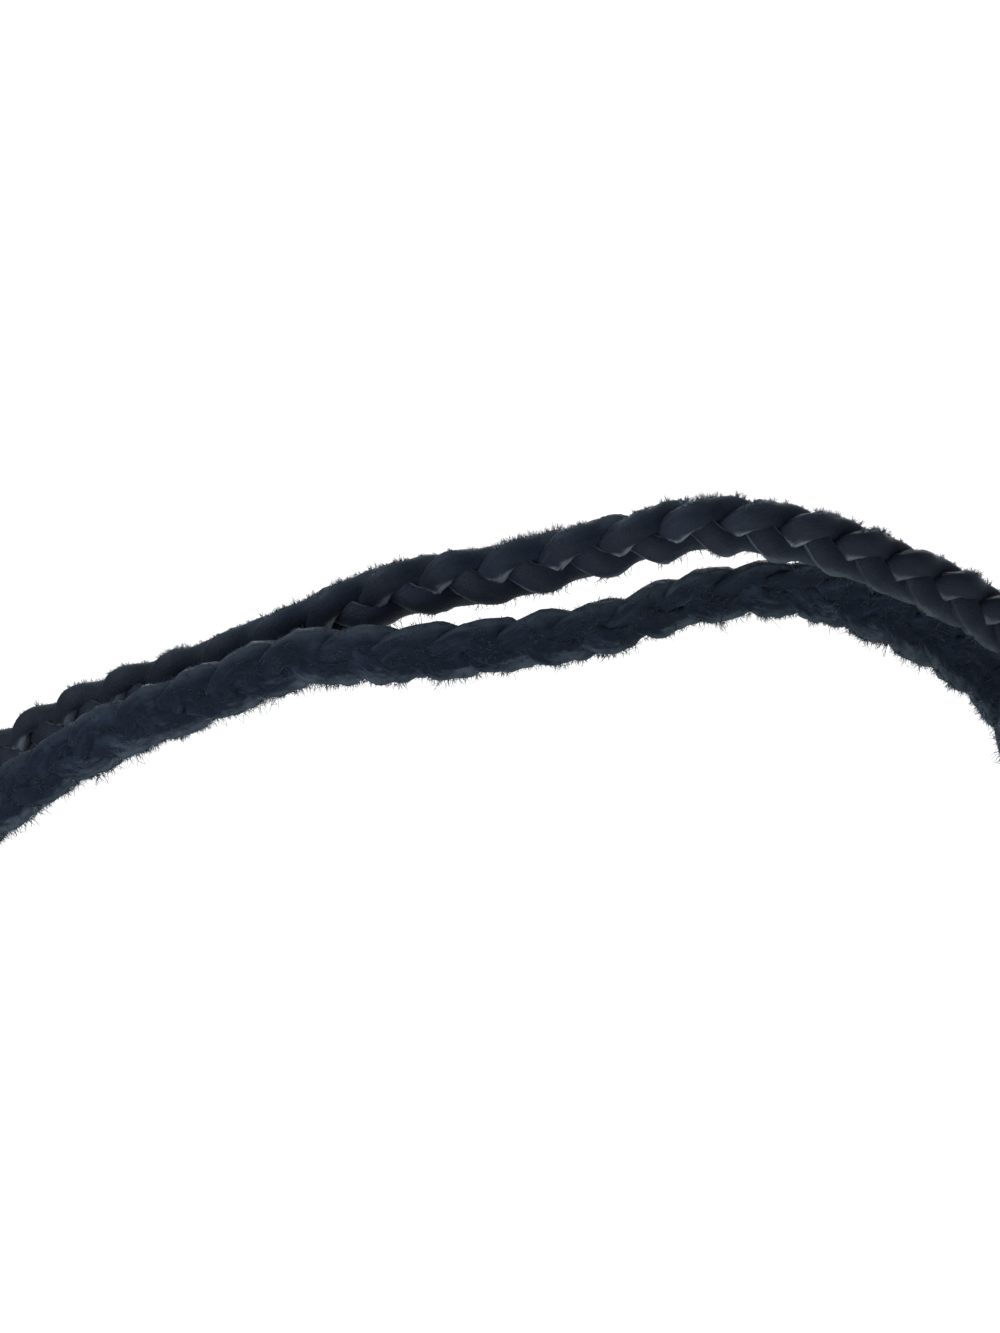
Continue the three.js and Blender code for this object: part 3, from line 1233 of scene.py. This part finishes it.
@dataclass(frozen=True)
class Studio:
    """Camera, floor, surrounding light and soft boxes."""

    camera_place: tuple = (0, -0.4525, -0.0059)
    view_width: float = 0.098
    view_distance: float = 0.45
    sensor: float = 36.0
    floor_height: float = -0.42
    floor_size: float = 4.4
    shown_light: float = 1.15
    cast_light: float = 0.26
    boxes: tuple = (
        SoftBox("key_light", (-0.55, -0.38, 0.42), (-0.03, 0.01, 0), 0.6, 5.6, COOL_WHITE),
        SoftBox("low_light", (0.02, -0.34, -0.40), (0, 0, 0), 0.5, 2.6, COOL_WHITE),
        SoftBox("back_light", (0.1, 0.60, 0.38), (0, 0.02, 0), 0.6, 5.0, (0.9, 0.95, 1.0)),
    )

    def add_camera(self) -> None:
        """Adds the camera, level and looking along +Y, and makes it the scene's own."""
        lens = bpy.data.cameras.new("camera")
        lens.sensor_fit = "HORIZONTAL"
        lens.sensor_width = self.sensor
        lens.lens = self.sensor * self.view_distance / self.view_width
        lens.clip_start, lens.clip_end = 0.01, 200
        body = new_object("camera", lens)
        body.location = self.camera_place
        body.rotation_euler = (math.pi / 2, 0, 0)
        bpy.context.scene.camera = body

    def add_floor(self) -> None:
        """Adds a plain pale floor well below the hanging loop."""
        nodes = Nodes(
            "pale_floor",
            {
                "Base Color": (0.82, 0.82, 0.82, 1),
                "Roughness": 0.9,
                "Emission Color": (1, 1, 1, 1),
                "Emission Strength": 0.25,
            },
        )
        half, height = self.floor_size / 2, self.floor_height
        corners = [(-half, -half, height), (half, -half, height), (half, half, height), (-half, half, height)]
        mesh = bpy.data.meshes.new("floor")
        mesh.from_pydata(corners, [], [(0, 1, 2, 3)])
        mesh.materials.append(nodes.material)
        new_object("floor", mesh)

    def add_world(self) -> None:
        """Surrounds the scene with white that lights it less strongly than it shows."""
        world = bpy.data.worlds.new("studio")
        world.use_nodes = True
        tree = world.node_tree
        rays = tree.nodes.new("ShaderNodeLightPath")
        mix = tree.nodes.new("ShaderNodeMixShader")
        tree.links.new(rays.outputs["Is Camera Ray"], mix.inputs[0])
        tree.links.new(mix.outputs[0], tree.nodes["World Output"].inputs["Surface"])
        cast, shown = tree.nodes.new("ShaderNodeBackground"), tree.nodes["Background"]
        lights = (cast, COOL_WHITE, self.cast_light), (shown, (1, 1, 1), self.shown_light)
        for number, (light, colour, strength) in enumerate(lights):
            light.inputs["Color"].default_value = (*colour, 1)
            light.inputs["Strength"].default_value = strength
            tree.links.new(light.outputs[0], mix.inputs[number + 1])
        bpy.context.scene.world = world
        bpy.context.scene.view_settings.view_transform = "Standard"

    def build(self) -> None:
        """Adds the whole studio."""
        self.add_camera()
        self.add_floor()
        self.add_world()
        for box in self.boxes:
            box.build()


def main() -> None:
    """Builds the necklace and its studio in order."""
    logging.basicConfig(level=logging.INFO, format="%(message)s")
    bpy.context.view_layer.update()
    Studio().build()
    clasp = Clasp()
    outer = BraidedStrand(
        name="outer_strand",
        slot="leather_outer",
        route=clasp.whole_route(1, OUTER_ROUTE),
        braiding=Braiding.TOWARDS_START,
        shape=LaceShape(),
        phase=1.877,
        seed=1,
        nap=Nap(
            edge=84, flesh=10, loose=7, loose_side=-1, length=0.47 * MM, loose_length=1.9 * MM, pale_from=0.55
        ),
        # Painted shade darkens the outer strand beyond x = 34 mm.
        rubbed_to=34 * MM,
    )
    inner = BraidedStrand(
        name="inner_strand",
        slot="leather_inner",
        route=clasp.whole_route(-1, INNER_ROUTE),
        braiding=Braiding.TOWARDS_END,
        shape=LaceShape(
            period=17.4 * MM,
            swing=1.76 * MM,
            square=0.12 * MM,
            lift=0.24 * MM,
            lead=0.06,
            proud=0,
            tilt_1=0.1,
            tilt_3=0.1,
            tilt_lead=0.6,
            cup=0.05 * MM,
            rough_flesh=0.10 * MM,
        ),
        phase=-4.924,
        seed=2,
        nap=Nap(
            edge=64, flesh=88, loose=16, loose_side=1, length=0.5 * MM, loose_length=0.85 * MM, pale_from=0.0
        ),
    )
    nap = NapFinish("leather_nap").make()
    outer.build(LeatherFinish("outer_leather", patchy=0.6).make(), nap)
    inner.build(LeatherFinish("inner_leather", wear_and_painted_light=0.25, patchy=0.85).make(), nap)
    clasp.build()


if __name__ == "__main__":
    main()
